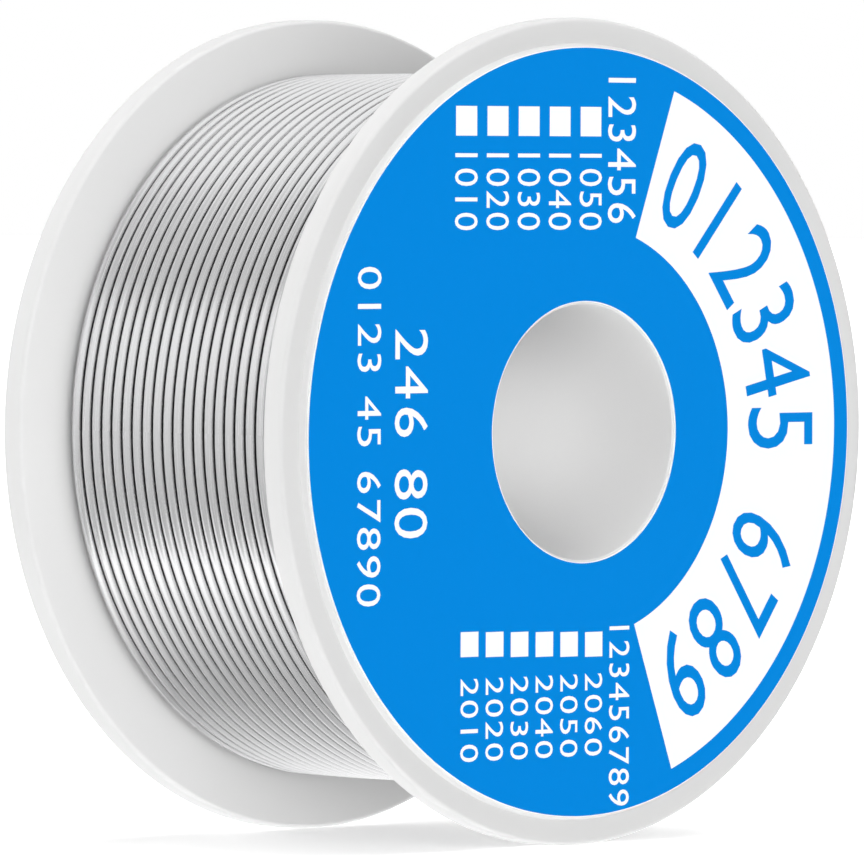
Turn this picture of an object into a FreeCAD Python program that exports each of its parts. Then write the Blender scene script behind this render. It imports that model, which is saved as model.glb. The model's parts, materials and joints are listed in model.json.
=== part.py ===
import FreeCAD, Part
import math
import os

import Sketcher
from FreeCAD import Placement, Rotation, Vector

# A reel of solder wire: two moulded flanges bonded on a ribbed barrel, a paper label on the front,
# and flux-cored wire wound between the flanges. All sizes are in millimetres.
# The reel stands on its two rims. Its axis is Y, its label faces -Y, +Z is up, and the origin is
# the middle of the bore.

SIZES = [
    ("flange_radius", 30.0, "outer radius of both flanges"),
    ("flange_wall", 1.9, "thickness of a flange at its rim"),
    ("rim_round", 0.35, "radius on both edges of a rim"),
    ("seat_radius", 28.0, "radius of the raised label seat"),
    ("seat_height", 0.5, "how far the seat stands proud of the flange"),
    ("seat_slope", 0.15, "width of the seat's sloping shoulder"),
    ("seat_round", 0.15, "radius on the seat's upper edge"),
    ("inner_width", 25.2, "distance between the flanges' inner faces"),
    ("bore_radius", 9.25, "radius of the spindle bore"),
    ("bore_wall", 1.5, "wall of the bore tube"),
    ("bore_chamfer", 0.2, "chamfer on both ends of the bore"),
    ("drum_radius", 20.0, "outer radius of the drum that the wire is wound on"),
    ("drum_wall", 1.5, "wall of the drum"),
    ("web_wall", 1.2, "thickness of a web between the bore tube and the drum"),
    ("web_count", 4, "number of webs"),
    ("web_turn", 45.0, "direction of the first web from X, in degrees"),
    ("socket_depth", 0.8, "depth of the groove that holds an end of the drum"),
    ("bond_gap", 0.05, "gap round the drum's ends and the bore tube in a flange"),
    ("tie_hole_radius", 0.7, "radius of the hole that the end of the wire is tucked through"),
    ("label_radius", 27.88, "outer radius of the label"),
    ("label_hole_radius", 9.45, "radius of the label's centre hole"),
    ("label_sheet", 0.12, "thickness of the label"),
    ("winding_depth", 6.0, "depth of the wound wire on the drum"),
    ("wire_diameter", 0.65, "diameter of the wire, drawn thin so that its turns stay apart"),
    ("wire_pitch", 1.07, "distance between the middles of two turns"),
    ("wire_bend", 0.7, "radius of the bend at each end of the outer layer"),
    ("wire_end_gap", 0.1, "least gap between a flange and the bend at an end of the outer layer"),
    ("wire_setback", 0.4, "how far the wire's end lies below the rear face"),
    ("flux_diameter", 0.25, "diameter of the flux inside the wire"),
    ("soft_gap", 0.3, "gap between the inner layers and their neighbours"),
]

doc = FreeCAD.newDocument("SolderReel")
sheet = doc.addObject("Spreadsheet::Sheet", "Reel")
for row, (alias, value, meaning) in enumerate(SIZES, start=1):
    sheet.set("A%d" % row, meaning)
    sheet.set("B%d" % row, str(value))
    sheet.setAlias("B%d" % row, alias)
doc.recompute()

# Distances that several pieces share, as formulas of the sheet.
TUBE_RADIUS = "Reel.bore_radius + Reel.bore_wall"
DRUM_INSIDE = "Reel.drum_radius - Reel.drum_wall"
SEAT_FACE = "Reel.flange_wall + Reel.seat_height"
HALF_INSIDE = "Reel.inner_width / 2"
HALF_WIDTH = HALF_INSIDE + " + " + SEAT_FACE
WINDING_RADIUS = "Reel.drum_radius + Reel.winding_depth"
COIL_RADIUS = WINDING_RADIUS + " - Reel.wire_diameter / 2"
TIE_HOLE_REACH = "sqrt((" + COIL_RADIUS + ")^2 + Reel.wire_bend^2)"

# How close two lengths must be to count as the same, and how far apart the path's test points are.
SAME_LENGTH = 1e-4
SAMPLE_STEP = 2.5


def value_of(formula):
    """Number that a formula of the sheet gives now."""
    return float(sheet.evalExpression(formula))


def new_body(name):
    """Body of one moulded, turned or cut piece, named for it."""
    body = doc.addObject("PartDesign::Body", name)
    body.Label = name
    return body


def new_sketch(body, name, role):
    """Empty sketch on one of the body's own origin planes."""
    sketch = body.newObject("Sketcher::SketchObject", name)
    plane = [feature for feature in body.Origin.OriginFeatures if feature.Role == role][0]
    sketch.AttachmentSupport = [(plane, "")]
    sketch.MapMode = "FlatFace"
    return sketch


def dimension(sketch, kind, places, formula):
    """Dimension in a sketch that follows a formula of the sheet."""
    number = sketch.addConstraint(Sketcher.Constraint(kind, *places, value_of(formula)))
    sketch.setExpression("Constraints[%d]" % number, formula)


def draw_outline(sketch, corners):
    """Closed outline of straight lines. Each corner is two formulas, or 0 on one of the sketch's axes."""
    places = [Vector(value_of(across), value_of(along), 0) for across, along in corners]
    for start, end in zip(places, places[1:] + places[:1]):
        sketch.addGeometry(Part.LineSegment(start, end))
    for line, (across, along) in enumerate(corners):
        line_before = (line - 1) % len(corners)
        sketch.addConstraint(Sketcher.Constraint("Coincident", line_before, 2, line, 1))
        if along == "0":
            sketch.addConstraint(Sketcher.Constraint("PointOnObject", line, 1, -1))
        else:
            dimension(sketch, "DistanceY", (-1, 1, line, 1), along)
        dimension(sketch, "DistanceX", (-1, 1, line, 1), across)


def draw_circle(sketch, radius, reach=None):
    """Circle of a radius, on the sketch's middle or at a reach along its first axis."""
    middle = Vector(value_of(reach), 0, 0) if reach else Vector(0, 0, 0)
    circle = sketch.addGeometry(Part.Circle(middle, Vector(0, 0, 1), value_of(radius)))
    dimension(sketch, "Radius", (circle,), radius)
    if reach:
        sketch.addConstraint(Sketcher.Constraint("PointOnObject", circle, 3, -1))
        dimension(sketch, "DistanceX", (-1, 1, circle, 3), reach)
    else:
        sketch.addConstraint(Sketcher.Constraint("Coincident", circle, 3, -1, 1))


def add_revolution(body, name, corners):
    """Section in the XY plane turned once round the Y axis."""
    section = new_sketch(body, name + "_section", "XY_Plane")
    draw_outline(section, corners)
    turned = body.newObject("PartDesign::Revolution", name)
    turned.Profile = section
    turned.ReferenceAxis = (section, ["V_Axis"])
    turned.Angle = 360
    doc.recompute()
    return turned


def add_ring(body, name, outer, inner, length, both_ways=True):
    """Ring round the Y axis, centred on the body's middle or reaching towards -Y from it."""
    section = new_sketch(body, name + "_section", "XZ_Plane")
    draw_circle(section, outer)
    draw_circle(section, inner)
    ring = body.newObject("PartDesign::Pad", name)
    ring.Profile = section
    ring.Midplane = both_ways
    ring.setExpression("Length", length)
    doc.recompute()
    return ring


def edges_round_axis(shape, radius, heights):
    """Names of the circles about the Y axis that have this radius and one of these heights."""
    names = []
    for number, edge in enumerate(shape.Edges, start=1):
        curve = edge.Curve
        if not isinstance(curve, Part.Circle) or abs(curve.Radius - radius) > SAME_LENGTH:
            continue
        if any(abs(curve.Center.y - height) < SAME_LENGTH for height in heights):
            names.append("Edge%d" % number)
    return names


def soften(body, name, kind, radius, heights, amount):
    """Fillet or chamfer on circles about the axis."""
    base = body.Tip
    edges = edges_round_axis(base.Shape, value_of(radius), [value_of(height) for height in heights])
    softened = body.newObject("PartDesign::" + kind, name)
    softened.Base = (base, edges)
    softened.setExpression("Radius" if kind == "Fillet" else "Size", amount)
    doc.recompute()


def place_along_axis(piece, formula, turned=False):
    """Put a piece at a distance along Y, turned half round about Z if it faces the other way."""
    piece.Placement = Placement(Vector(), Rotation(Vector(0, 0, 1), 180 if turned else 0))
    piece.setExpression("Placement.Base.y", formula)


def make_flange(name):
    """Moulded disc: a rim, a raised seat outside, and inside a groove for the drum's end.

    Its inner face lies in the XZ plane and its outside faces +Y. The bore tube passes through its
    middle, and the end of the wire is tucked through the small hole beyond the drum.
    """
    body = new_body(name)
    hole = TUBE_RADIUS + " + Reel.bond_gap"
    groove_inside = DRUM_INSIDE + " - Reel.bond_gap"
    groove_outside = "Reel.drum_radius + Reel.bond_gap"
    add_revolution(body, name + "_disc", [
        (hole, "0"),
        (groove_inside, "0"),
        (groove_inside, "Reel.socket_depth"),
        (groove_outside, "Reel.socket_depth"),
        (groove_outside, "0"),
        ("Reel.flange_radius", "0"),
        ("Reel.flange_radius", "Reel.flange_wall"),
        ("Reel.seat_radius + Reel.seat_slope", "Reel.flange_wall"),
        ("Reel.seat_radius", SEAT_FACE),
        (hole, SEAT_FACE),
    ])
    soften(body, name + "_rim", "Fillet", "Reel.flange_radius", ["0", "Reel.flange_wall"], "Reel.rim_round")
    soften(body, name + "_seat", "Fillet", "Reel.seat_radius", [SEAT_FACE], "Reel.seat_round")
    outline = new_sketch(body, name + "_tie_hole_outline", "XZ_Plane")
    draw_circle(outline, "Reel.tie_hole_radius", TIE_HOLE_REACH)
    tie_hole = body.newObject("PartDesign::Pocket", name + "_tie_hole")
    tie_hole.Profile = outline
    tie_hole.Type = "ThroughAll"
    tie_hole.Midplane = True
    doc.recompute()
    return body


def make_barrel():
    """Moulding between the flanges: the drum, four webs and the bore tube, which passes both flanges."""
    body = new_body("barrel")
    add_ring(body, "drum", "Reel.drum_radius", DRUM_INSIDE, "Reel.inner_width + 2 * Reel.socket_depth")
    outline = new_sketch(body, "web_outline", "XZ_Plane")
    outline.setExpression("AttachmentOffset.Rotation.Angle", "Reel.web_turn")
    into_tube = "Reel.bore_radius + Reel.bore_wall / 2"
    into_drum = "Reel.drum_radius - Reel.drum_wall / 2"
    draw_outline(outline, [
        (into_tube, "-Reel.web_wall / 2"),
        (into_drum, "-Reel.web_wall / 2"),
        (into_drum, "Reel.web_wall / 2"),
        (into_tube, "Reel.web_wall / 2"),
    ])
    web = body.newObject("PartDesign::Pad", "web")
    web.Profile = outline
    web.Midplane = True
    web.setExpression("Length", "Reel.inner_width")
    doc.recompute()
    webs = body.newObject("PartDesign::PolarPattern", "webs")
    webs.Originals = [web]
    webs.Axis = (outline, ["N_Axis"])
    webs.Angle = 360
    webs.setExpression("Occurrences", "Reel.web_count")
    body.Tip = webs
    doc.recompute()
    add_ring(body, "bore_tube", TUBE_RADIUS, "Reel.bore_radius", "2 * (" + HALF_WIDTH + ")")
    ends = ["-(" + HALF_WIDTH + ")", HALF_WIDTH]
    soften(body, "bore_ends", "Chamfer", "Reel.bore_radius", ends, "Reel.bore_chamfer")
    return body


def make_label():
    """Round paper label with a hole for the spindle. It faces -Y."""
    body = new_body("front_label")
    add_ring(body, "label_sheet", "Reel.label_radius", "Reel.label_hole_radius", "Reel.label_sheet", False)
    place_along_axis(body, "-(" + HALF_WIDTH + ")")
    return body


def make_inner_layers():
    """Layers of wire under the outer one, as one plain ring round the drum."""
    body = new_body("solder_inner_layers")
    outside = WINDING_RADIUS + " - Reel.wire_diameter - Reel.soft_gap"
    inside = "Reel.drum_radius + Reel.soft_gap"
    add_ring(body, "inner_layers", outside, inside, "Reel.inner_width - 2 * Reel.soft_gap")
    return body


def arc_between(start, corner, end):
    """Arc from start to end that touches both sides of their common corner."""
    middle = (start + end) / 2
    half_chord = (end - start).Length / 2
    side = (corner - start).Length
    half_turn = math.acos(min(1.0, half_chord / side))
    towards_corner = (corner - middle).normalize()
    top = middle + towards_corner * (half_chord * math.tan(half_turn / 2))
    return Part.Arc(start, top, end).toShape()


def biarc(start, leaving, end, arriving):
    """Two arcs from start to end that keep both directions and share a tangent where they meet."""
    chord = end - start
    both = leaving + arriving
    spread = 2 * (1 - leaving.dot(arriving))
    along = chord.dot(both)
    reach = (math.sqrt(along * along + spread * chord.dot(chord)) - along) / spread
    first_corner = start + leaving * reach
    second_corner = end - arriving * reach
    joint = (first_corner + second_corner) / 2
    return [arc_between(start, first_corner, joint), arc_between(joint, second_corner, end)]


def outer_layer_path():
    """Middle line of the outer layer: out of the front flange, round the reel and into the tie hole.

    The turns climb steadily from the front to the rear. Each half turn is two arcs. At both ends
    the wire bends square to the flange, on the side where the rear flange has its tie hole.
    """
    pitch = value_of("Reel.wire_pitch")
    bend = value_of("Reel.wire_bend")
    coil_radius = value_of(COIL_RADIUS)
    half_inside = value_of(HALF_INSIDE)
    end_room = bend + value_of("Reel.wire_end_gap")
    turns = int((2 * half_inside - 2 * end_room) / pitch)
    slope = math.atan(pitch / (2 * math.pi * coil_radius))
    corner_reach = bend * math.tan((math.pi / 2 - slope) / 2)
    end_angle = math.atan(corner_reach / coil_radius)
    first = end_angle
    last = 2 * math.pi * turns - end_angle

    def place(angle):
        along = (angle / (2 * math.pi) - turns / 2) * pitch
        return Vector(coil_radius * math.cos(angle), along, -coil_radius * math.sin(angle))

    def heading(angle):
        level = math.cos(slope)
        return Vector(-math.sin(angle) * level, math.sin(slope), -math.cos(angle) * level)

    axis = Vector(0, 1, 0)
    front_corner = place(first) - heading(first) * corner_reach
    front_bend = front_corner - axis * corner_reach
    front_end = Vector(front_bend.x, -half_inside, front_bend.z)
    rear_corner = place(last) + heading(last) * corner_reach
    rear_bend = rear_corner + axis * corner_reach
    rear_end = Vector(rear_bend.x, value_of(HALF_WIDTH + " - Reel.wire_setback"), rear_bend.z)

    edges = [Part.LineSegment(front_end, front_bend).toShape()]
    edges.append(arc_between(front_bend, front_corner, place(first)))
    half_turns = 2 * turns
    for number in range(half_turns):
        start = first + (last - first) * number / half_turns
        end = first + (last - first) * (number + 1) / half_turns
        edges += biarc(place(start), heading(start), place(end), heading(end))
    edges.append(arc_between(place(last), rear_corner, rear_bend))
    edges.append(Part.LineSegment(rear_bend, rear_end).toShape())
    return edges, turns


def swept_rod(edges, diameter):
    """Round rod along a path. Its section is a spline, because the faces it sweeps stay light."""
    start = edges[0].Vertexes[0].Point
    direction = edges[0].tangentAt(edges[0].FirstParameter)
    section = Part.Wire(Part.Circle(start, direction, diameter / 2).toBSpline().toShape())
    path = Part.Wire(edges)
    rod = path.makePipeShell([section], True, False)
    expected = math.pi * diameter ** 2 / 4 * path.Length
    print("wire: %.1f mm long, volume %.2f of %.2f mm3" % (path.Length, rod.Volume, expected))
    return rod


def least_gap(edges, diameter):
    """Smallest distance between the surfaces of a stretch of the path and of the next turn beside it."""
    points = []
    run = 0.0
    for edge in edges:
        count = max(2, int(edge.Length / SAMPLE_STEP) + 1)
        for number, point in enumerate(edge.discretize(Number=count)[:-1]):
            points.append((run + edge.Length * number / (count - 1), point))
        run += edge.Length
    turn = 2 * math.pi * value_of(COIL_RADIUS)
    least = run
    for number, (here, point) in enumerate(points):
        for there, other in points[number + 1:]:
            if turn / 2 < there - here < turn * 3 / 2:
                least = min(least, point.distanceToPoint(other))
    return least - diameter


def make_outer_layer():
    """The visible layer of wire, one unbroken rod, and the flux that shows in its cut end.

    The flux runs through the whole wire. Here it fills the straight end in the tie hole.
    """
    wire = value_of("Reel.wire_diameter")
    flux = value_of("Reel.flux_diameter")
    edges, turns = outer_layer_path()
    print("outer layer: %d turns, least gap to itself %.3f mm" % (turns, least_gap(edges, wire)))
    straight_end = edges[-1]
    end_start = straight_end.Vertexes[0].Point
    thread = Part.makeCylinder(flux / 2, straight_end.Length, end_start, Vector(0, 1, 0))
    alloy_piece = doc.addObject("Part::Feature", "solder_outer_layer")
    alloy_piece.Label = "solder_outer_layer"
    alloy_piece.Shape = swept_rod(edges, wire).cut(thread)
    flux_piece = doc.addObject("Part::Feature", "flux_core")
    flux_piece.Label = "flux_core"
    flux_piece.Shape = thread
    for piece in (alloy_piece, flux_piece):
        piece.Placement = Placement()
    return [alloy_piece, flux_piece]


front_flange = make_flange("front_flange")
place_along_axis(front_flange, "-(" + HALF_INSIDE + ")", turned=True)
rear_flange = make_flange("rear_flange")
place_along_axis(rear_flange, HALF_INSIDE)
pieces = [front_flange, rear_flange, make_barrel(), make_label(), make_inner_layers()]
pieces += make_outer_layer()
doc.recompute()

for item in doc.Objects:
    if "Invalid" in item.State or "Error" in item.State:
        raise RuntimeError("%s was not built: %s" % (item.Label, item.State))
for piece in pieces:
    if piece.Shape.isNull() or not piece.Shape.isValid():
        raise RuntimeError("%s has no valid shape" % piece.Label)

os.makedirs("parts", exist_ok=True)
for piece in pieces:
    piece.Shape.exportStep("parts/%s.step" % piece.Label)
    print("%s: %d solid, %.1f mm3" % (piece.Label, len(piece.Shape.Solids), piece.Shape.Volume))
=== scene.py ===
import json
import math
from typing import NamedTuple

import bmesh
import bpy
from mathutils import Matrix, Vector


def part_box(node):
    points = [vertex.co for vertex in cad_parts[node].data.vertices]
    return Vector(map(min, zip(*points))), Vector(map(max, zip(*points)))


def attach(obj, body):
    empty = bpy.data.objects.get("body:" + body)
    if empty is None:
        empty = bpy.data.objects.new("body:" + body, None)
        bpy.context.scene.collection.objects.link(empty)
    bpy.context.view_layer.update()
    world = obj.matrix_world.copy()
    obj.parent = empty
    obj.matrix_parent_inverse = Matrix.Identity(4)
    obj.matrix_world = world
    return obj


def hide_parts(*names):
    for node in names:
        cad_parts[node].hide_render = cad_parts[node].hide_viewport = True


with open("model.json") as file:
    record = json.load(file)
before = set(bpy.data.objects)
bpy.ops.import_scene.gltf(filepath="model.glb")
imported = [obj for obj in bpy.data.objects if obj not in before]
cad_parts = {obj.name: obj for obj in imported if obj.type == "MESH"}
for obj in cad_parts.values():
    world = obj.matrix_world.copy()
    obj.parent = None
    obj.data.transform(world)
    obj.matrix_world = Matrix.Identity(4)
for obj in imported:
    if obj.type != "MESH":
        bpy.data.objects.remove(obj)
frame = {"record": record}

bl_info = {
    "name": "Solder Reel",
    "version": (1, 0, 0),
    "blender": (4, 5, 0),
    "location": "3D View > Sidebar > Reel",
    "description": "Builds a reel of solder wire round its construction model",
    "category": "Object",
}

# Lengths in the panel are in metres. Meshes are modelled in millimetres and scaled at the end.
MM = 0.001
BODY = "root"

# Points of a mesh that lie nearer than this, in millimetres, count as one.
TOUCH = 1e-4
SHARP_ANGLE = math.radians(32)

# Steps round a moulding, a turn of wire, the white band, a hole, the flux and a bend of the wire.
ROUND_STEPS = 240
TURN_STEPS = 180
BAND_STEPS = 96
HOLE_STEPS = 40
FLUX_STEPS = 24
BEND_STEPS = 8

# Sides of the wire, in the outer layer and in the one under it.
WIRE_SIDES = 16
LOWER_WIRE_SIDES = 12

# Lengths and angles from here to the lights are in millimetres and degrees.
# Ejector pins and the gate leave shallow round marks on a flange's seat.
PIN_MARKS = 6
FIRST_PIN_MARK = 30
PIN_MARK_REACH = 22.6
PIN_MARK_RADIUS = 1.5
PIN_MARK_DEPTH = 0.06
GATE_REACH = 14.5
GATE_RADIUS = 1.1
GATE_DEPTH = 0.25

# A tie hole widens at both faces. Its cutter has a straight lip outside the flare.
TIE_HOLE_FLARE = 0.12
FLARE_LIP = 0.05

# How far the cutter of a hole, and of a mark, reaches past the face.
HOLE_MARGIN = 0.1
MARK_MARGIN = 1.0

# Webs between the bore tube and the drum, and the angle of the first one.
WEBS = 4
FIRST_WEB = 45

# The flux in the wire's cut end: how deep its bore is cut, its length, the play round it, and how far its
# edge and its middle lie under the cut.
FLUX_BORE = 0.4
FLUX_LENGTH = 1.0
FLUX_PLAY = 0.01
FLUX_EDGE = 0.04
FLUX_MIDDLE = 0.01

# The core under the wound layers: its play on the drum, and how far it lies inside the middle of the lower
# layer's wire.
CORE_PLAY = 0.05
CORE_DEPTH = 0.12

# Brightness of the wire's metal, and the share of its crown under a dull grey film, in the outer layer and
# in the one under it. The lower layer's lower brightness and its film are painted shade under the outer
# turns.
OUTER_SHINE, OUTER_TARNISH = 1.0, 0.0
LOWER_SHADED_SHINE, LOWER_SHADE_FILM = 0.55, 0.3

# How far a print's back lies above the label's face, in films of ink: white areas are sunk a little, and
# blue on white lies higher.
PAPER_LEVEL = -0.4
INK_LEVEL = 0.2

# The white band on the label, which is an arc round the right side, and the digits that stand on it.
BAND_INSIDE = 15.0
BAND_OUTSIDE = 26.4
BAND_HALF_ANGLE = 69.6
BAND_DIGITS = "012345 6789"
BAND_DIGIT_REACH = 20.6
BAND_DIGIT_HEIGHT = 6.9
BAND_DIGIT_WIDTH = 0.78
FIRST_BAND_DIGIT = 60.0
BAND_DIGIT_STEP = 12.0


class TickRow(NamedTuple):
    """Row of tick boxes on the label. Each next box lies a pitch to the right and a drop lower."""

    boxes: int
    first_across: float
    pitch: float
    up: float
    drop: float
    side: float
    first_number: int
    number_up: float
    number_height: float
    number_width: float


class NumberRow(NamedTuple):
    """Row of digits on the label, with the place of its middle. Most rows read downwards.

    The width is a share of the font's own.
    """

    digits: str
    height: float
    width: float
    across: float
    up: float
    turn: float = -math.pi / 2


TICK_ROWS = (
    TickRow(boxes=5, first_across=-12.195, pitch=3.18, up=22.48, drop=0.0, side=2.13,
            first_number=1010, number_up=17.4, number_height=2.3, number_width=0.86),
    TickRow(boxes=6, first_across=-11.69, pitch=2.545, up=-15.05, drop=0.07, side=1.79,
            first_number=2010, number_up=-20.5, number_height=1.8, number_width=1.1),
)
TICK_NUMBER_STEP = 10
PLAIN_ROWS = (
    NumberRow("123456", height=2.9, width=0.83, across=3.75, up=20.4),
    NumberRow("123456789", height=2.1, width=0.92, across=3.7, up=-20.7),
    NumberRow("0123 45 67890", height=2.35, width=1.07, across=-21.85, up=0.0),
    NumberRow("246 80", height=3.3, width=1.05, across=-17.65, up=0.15),
)

WHITE = (1.0, 1.0, 1.0, 1.0)

# Soft walls: the brightness from straight in front of the label, at 0, to straight behind the reel, at 1.
WALLS = ((0.0, 0.0), (0.20, 0.0), (0.325, 0.21), (0.50, 0.96), (0.70, 0.0), (1.0, 0.0))

# Soft lamps: the way to each, the cosine at which it fades out round that way, and its strength. One
# stands beside the camera, one hangs above, one lies below, and one stands behind and lights the bore.
LAMPS = (
    ((-0.59, -0.80, 0.06), 0.89, 7.2),
    ((0.04, -0.28, 0.96), 0.80, 1.45),
    ((0.04, -0.28, -0.96), 0.80, 2.1),
    ((-0.40, 0.92, 0.0), 0.71, 4.1),
)
# The cosine inside which a lamp has its full strength.
LAMP_FULL = 0.97

# Panels that the wire mirrors: the angle round the reel's axis, from the left upwards, and the brightness
# there. A bright lamp stands low on the left, a wall brightens from the table up to a lit edge, and a
# broad panel hangs above, with grey gaps between them.
PANELS = (
    (-180, 1.05), (-150, 1.32), (-128, 1.30), (-109, 1.03), (-97, 0.73), (-84, 0.50), (-68, 0.71),
    (-54, 1.12), (-47, 1.31), (-40, 1.66), (-37, 1.42), (-34, 0.61), (-26, 0.60), (0, 0.85),
    (29, 1.13), (35, 1.06), (40, 0.73), (46, 0.69), (66, 0.74), (80, 1.12), (110, 1.15),
    (148, 1.05), (180, 1.05),
)
# A ramp's colours stay under 1, so the panels are divided by this in it and multiplied by it after.
PANEL_SCALE = 2.0

# Sockets of a Mix node for colours, whose names are those of its sockets for numbers too.
MIX_SHARE, MIX_FIRST, MIX_SECOND, MIX_RESULT = 0, 6, 7, 2

flange_low, flange_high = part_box("rear_flange")
label_low, label_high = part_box("front_label")
winding_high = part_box("solder_outer_layer")[1]
inner_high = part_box("solder_inner_layers")[1]
barrel_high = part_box("barrel")[1]
bore_mount = next(mount for mount in frame["record"]["mounts"] if mount["name"] == "spindle_bore")
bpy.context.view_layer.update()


def length_property(name, description, default):
    """Property for a length in metres."""
    return bpy.props.FloatProperty(
        name=name, description=description, default=default, min=0.0, unit="LENGTH", precision=5)


def linear(hex_colour):
    """Linear RGBA of an sRGB hex colour."""
    channels = [int(hex_colour[place:place + 2], 16) / 255 for place in (0, 2, 4)]
    return tuple(c / 12.92 if c <= 0.04045 else ((c + 0.055) / 1.055) ** 2.4 for c in channels) + (1.0,)


def colour_property(name, description, hex_colour):
    """Property for a colour, with its default given as sRGB hex digits."""
    return bpy.props.FloatVectorProperty(
        name=name, description=description, default=linear(hex_colour), size=4, min=0.0, max=1.0,
        subtype="COLOR")


class ReelSizes(bpy.types.PropertyGroup):
    """Sizes of the reel's pieces."""

    flange_radius: length_property("Flange radius", "Outer radius of both flanges", flange_high[0])
    flange_wall: length_property("Flange wall", "Thickness of a flange at its rim", 0.0019)
    inner_face: length_property("Inner face", "Distance from the middle to a flange", flange_low[1])
    seat_face: length_property("Seat face", "Distance from the middle to a label seat", flange_high[1])
    seat_radius: length_property("Seat radius", "Radius of the raised label seat", 0.028)
    seat_slope: length_property("Seat slope", "Width of the seat's sloping shoulder", 0.00015)
    rim_round: length_property("Rim round", "Radius on both edges of a rim", 0.00035)
    seat_round: length_property("Seat round", "Radius on the seat's upper edge", 0.00015)
    socket_depth: length_property("Socket depth", "Depth of the groove for the drum's end", 0.0008)
    bond_gap: length_property("Bond gap", "Gap round the drum and the bore tube in a flange", 0.00005)
    tie_hole_radius: length_property("Tie hole radius", "Radius of the hole for the wire's end", 0.0007)
    bore_radius: length_property(
        "Bore radius", "Radius of the spindle bore", bore_mount["dims"]["r_mm"] * MM)
    bore_wall: length_property("Bore wall", "Wall of the bore tube", 0.0015)
    bore_chamfer: length_property("Bore chamfer", "Chamfer on both ends of the bore", 0.00012)
    drum_radius: length_property("Drum radius", "Outer radius of the drum", barrel_high[0])
    drum_wall: length_property("Drum wall", "Wall of the drum", 0.0015)
    web_wall: length_property("Web wall", "Thickness of a web in the barrel", 0.0012)
    label_radius: length_property("Label radius", "Outer radius of the label", label_high[0])
    label_hole: length_property("Label hole", "Radius of the label's centre hole", 0.00945)
    label_margin: length_property("Label margin", "Bare paper at the label's cut edges", 0.00005)
    ink_film: length_property("Ink film", "Thickness of a printed area", 0.000012)
    winding_radius: length_property("Winding radius", "Outer radius of the wire", winding_high[0])
    wire_diameter: length_property("Wire diameter", "Real diameter of the wire", 0.0008)
    wire_pitch: length_property("Wire pitch", "Distance between two turns", 0.00107)
    wire_bend: length_property("Wire bend", "Radius of the bend at the wire's ends", 0.0007)
    flux_diameter: length_property("Flux diameter", "Diameter of the flux in the wire", 0.00028)
    turns: bpy.props.IntProperty(
        name="Turns", description="Turns in the outer layer", default=22, min=1, max=24)


class ReelColours(bpy.types.PropertyGroup):
    """Colours of the reel's finishes."""

    plastic: colour_property("Plastic", "White ABS", "D6D6D6")
    paper: colour_property("Paper", "Coated label paper", "F4F6F6")
    blue_print: colour_property("Blue print", "Ink on the label", "0081D5")
    wire_bright: colour_property("Bright wire", "Drawn solder wire on its crown", "E6E6E7")
    # The valley colour is painted shade: the wire is dark where its turns shade each other.
    wire_valley_shade: colour_property("Dull wire", "Solder wire in the valleys", "343435")
    flux: colour_property("Flux", "Rosin in the wire's cut end", "C2903A")
    floor: colour_property("Floor", "Plain pale floor", "FAFAFA")


def millimetres(length):
    """Length of the panel, in the millimetres that meshes are modelled in."""
    return length / MM


def deeper(colour, share):
    """Linear colour with each channel lowered to a share."""
    return tuple(channel * share for channel in colour[:3]) + (1.0,)


def add_node(tree, kind, inputs=None, **settings):
    """Node with its settings and inputs. An input is a plain value, or a socket to link from."""
    node = tree.nodes.new(kind)
    for name, value in settings.items():
        setattr(node, name, value)
    for key, value in (inputs or {}).items():
        if isinstance(value, bpy.types.NodeSocket):
            tree.links.new(value, node.inputs[key])
        else:
            node.inputs[key].default_value = value
    return node


def new_material(name):
    """Empty node material and its node tree."""
    material = bpy.data.materials.new(name)
    material.use_nodes = True
    material.node_tree.nodes.clear()
    return material, material.node_tree


def moulded_abs(name, colours):
    """White ABS, injection moulded: satin, with a fine eroded grain and slow swirls of flow."""
    material, tree = new_material(name)
    grain_width, swirl_width = 0.15 * MM, 9 * MM
    place = add_node(tree, "ShaderNodeTexCoord").outputs["Object"]
    grain = add_node(tree, "ShaderNodeTexNoise", {
        "Vector": place, "Scale": 1 / grain_width, "Detail": 2.0})
    flow = add_node(tree, "ShaderNodeTexNoise", {
        "Vector": place, "Scale": 1 / swirl_width, "Detail": 1.0})
    tone = add_node(tree, "ShaderNodeMix", {
        MIX_SHARE: flow.outputs["Fac"], MIX_FIRST: deeper(colours.plastic, 0.975),
        MIX_SECOND: colours.plastic}, data_type="RGBA")
    gloss = add_node(tree, "ShaderNodeMapRange", {
        "Value": flow.outputs["Fac"], "From Min": 0.3, "From Max": 0.7, "To Min": 0.36, "To Max": 0.44})
    relief = add_node(tree, "ShaderNodeBump", {
        "Height": grain.outputs["Fac"], "Strength": 0.10, "Distance": 0.02 * MM})
    surface = add_node(tree, "ShaderNodeBsdfPrincipled", {
        "Base Color": tone.outputs[MIX_RESULT], "Roughness": gloss.outputs["Result"], "IOR": 1.54,
        "Normal": relief.outputs["Normal"]})
    add_node(tree, "ShaderNodeOutputMaterial", {"Surface": surface.outputs["BSDF"]})
    return material


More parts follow.
